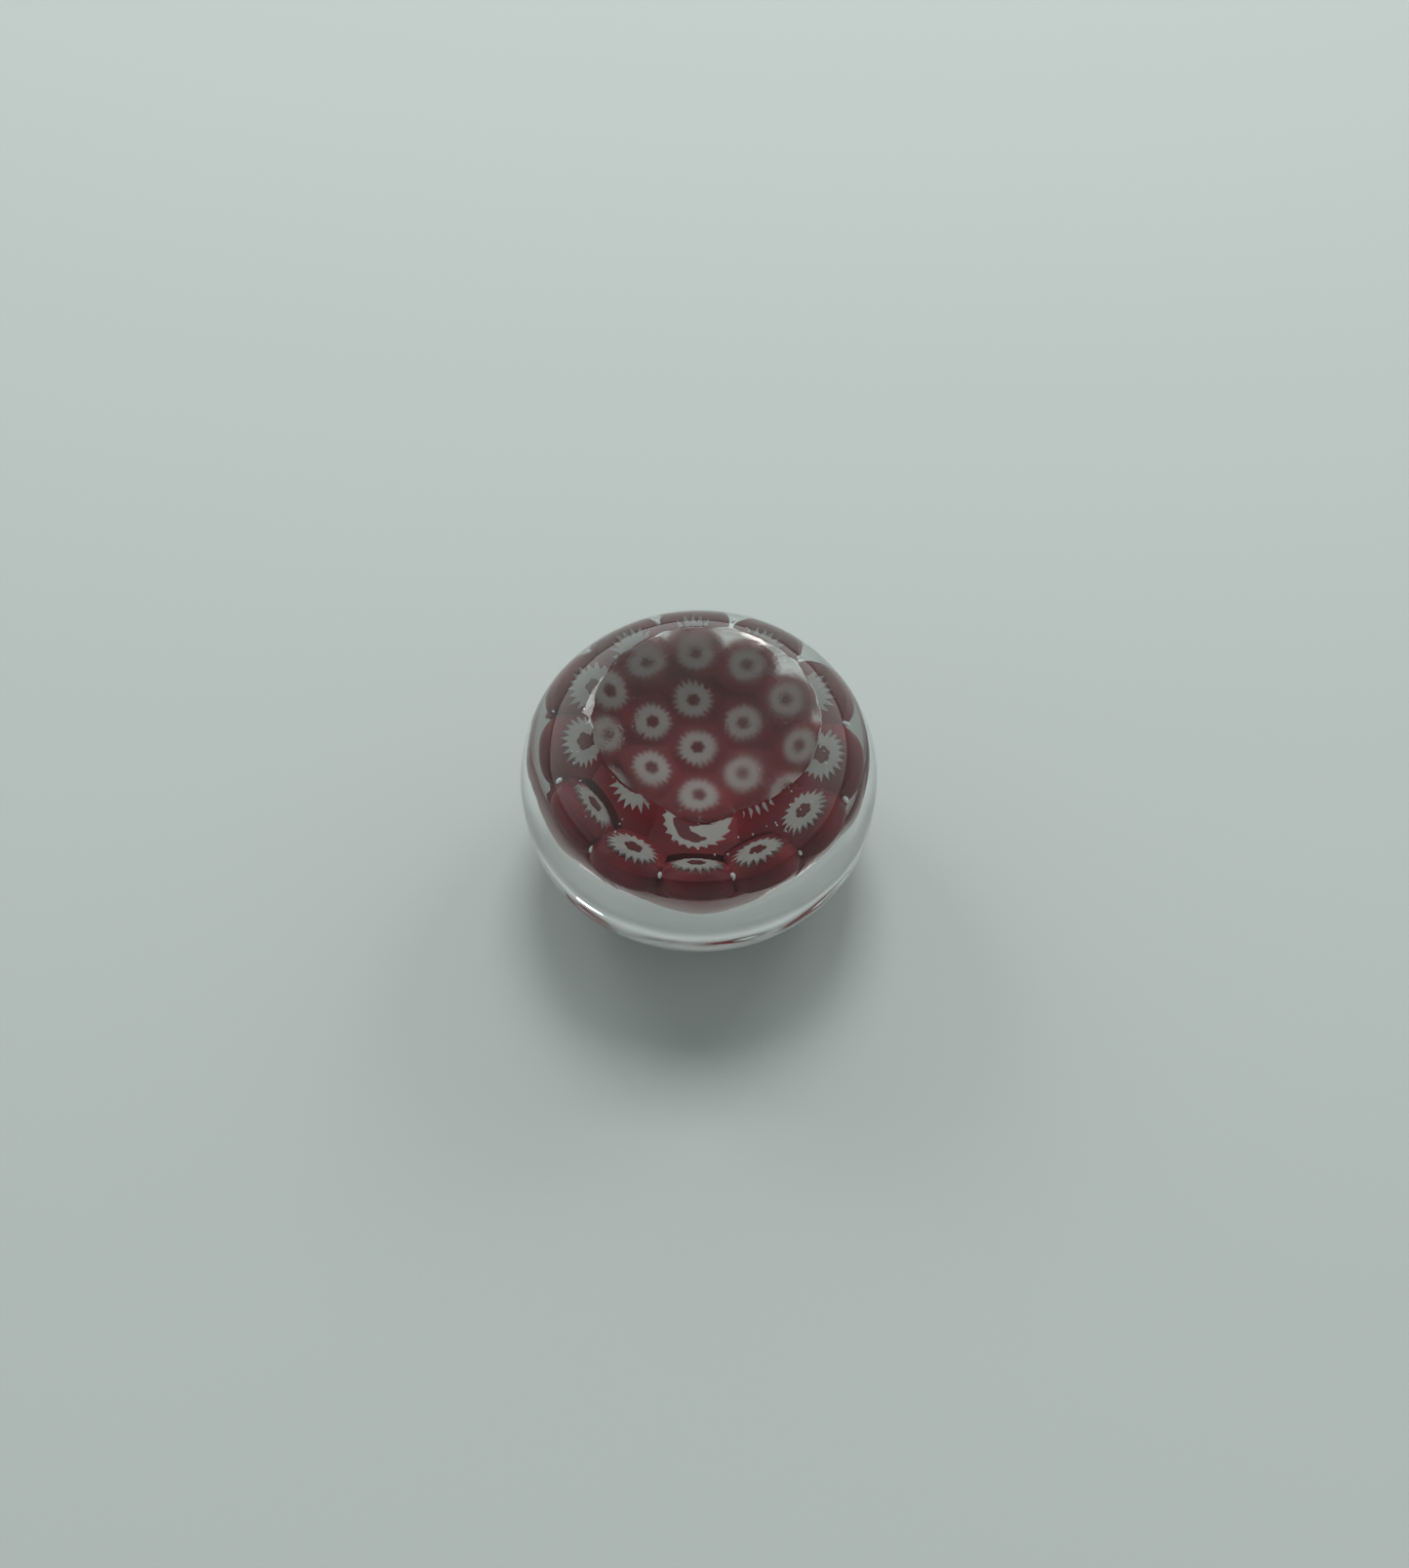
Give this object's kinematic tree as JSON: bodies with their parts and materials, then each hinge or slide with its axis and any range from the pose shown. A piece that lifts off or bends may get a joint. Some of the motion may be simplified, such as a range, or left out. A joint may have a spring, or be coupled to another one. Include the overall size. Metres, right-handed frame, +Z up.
{
  "type": "millefiori paperweight",
  "caption": "Round clear-glass desk paperweight holding concentric rings of dark red millefiori canes with pale toothed stars, with a flat ground base.",
  "frame": {"origin": "lowest point of the dome, on the weight's axis; the weight lies on its dome with its ground base up", "axes": "+Z up along the weight's axis, out through the ground base; +Y to the back, away from the front that the ground base slants down to; +X to the right"},
  "size_m": [0.07, 0.07, 0.0491],
  "materials": {
    "clear_glass": "polished outside, matte where ground",
    "casing_glass": "opaque dark red glass",
    "star_glass": "opaque greyish white glass",
    "core_glass": "opaque red glass"
  },
  "bodies": {
    "root": {"clear_dome": "clear_glass", "base_gather": "clear_glass", "casing_1": "casing_glass", "casing_2": "casing_glass", "casing_3": "casing_glass", "casing_4": "casing_glass", "casing_5": "casing_glass", "casing_6": "casing_glass", "casing_7": "casing_glass", "casing_8": "casing_glass", "casing_9": "casing_glass", "casing_10": "casing_glass", "casing_11": "casing_glass", "casing_12": "casing_glass", "casing_13": "casing_glass", "casing_14": "casing_glass", "casing_15": "casing_glass", "casing_16": "casing_glass", "casing_17": "casing_glass", "casing_18": "casing_glass", "casing_19": "casing_glass", "star_1": "star_glass", "star_2": "star_glass", "star_3": "star_glass", "star_4": "star_glass", "star_5": "star_glass", "star_6": "star_glass", "star_7": "star_glass", "star_8": "star_glass", "star_9": "star_glass", "star_10": "star_glass", "star_11": "star_glass", "star_12": "star_glass", "star_13": "star_glass", "star_14": "star_glass", "star_15": "star_glass", "star_16": "star_glass", "star_17": "star_glass", "star_18": "star_glass", "star_19": "star_glass", "core_1": "core_glass", "core_2": "core_glass", "core_3": "core_glass", "core_4": "core_glass", "core_5": "core_glass", "core_6": "core_glass", "core_7": "core_glass", "core_8": "core_glass", "core_9": "core_glass", "core_10": "core_glass", "core_11": "core_glass", "core_12": "core_glass", "core_13": "core_glass", "core_14": "core_glass", "core_15": "core_glass", "core_16": "core_glass", "core_17": "core_glass", "core_18": "core_glass", "core_19": "core_glass"}
  },
  "joints": []
}
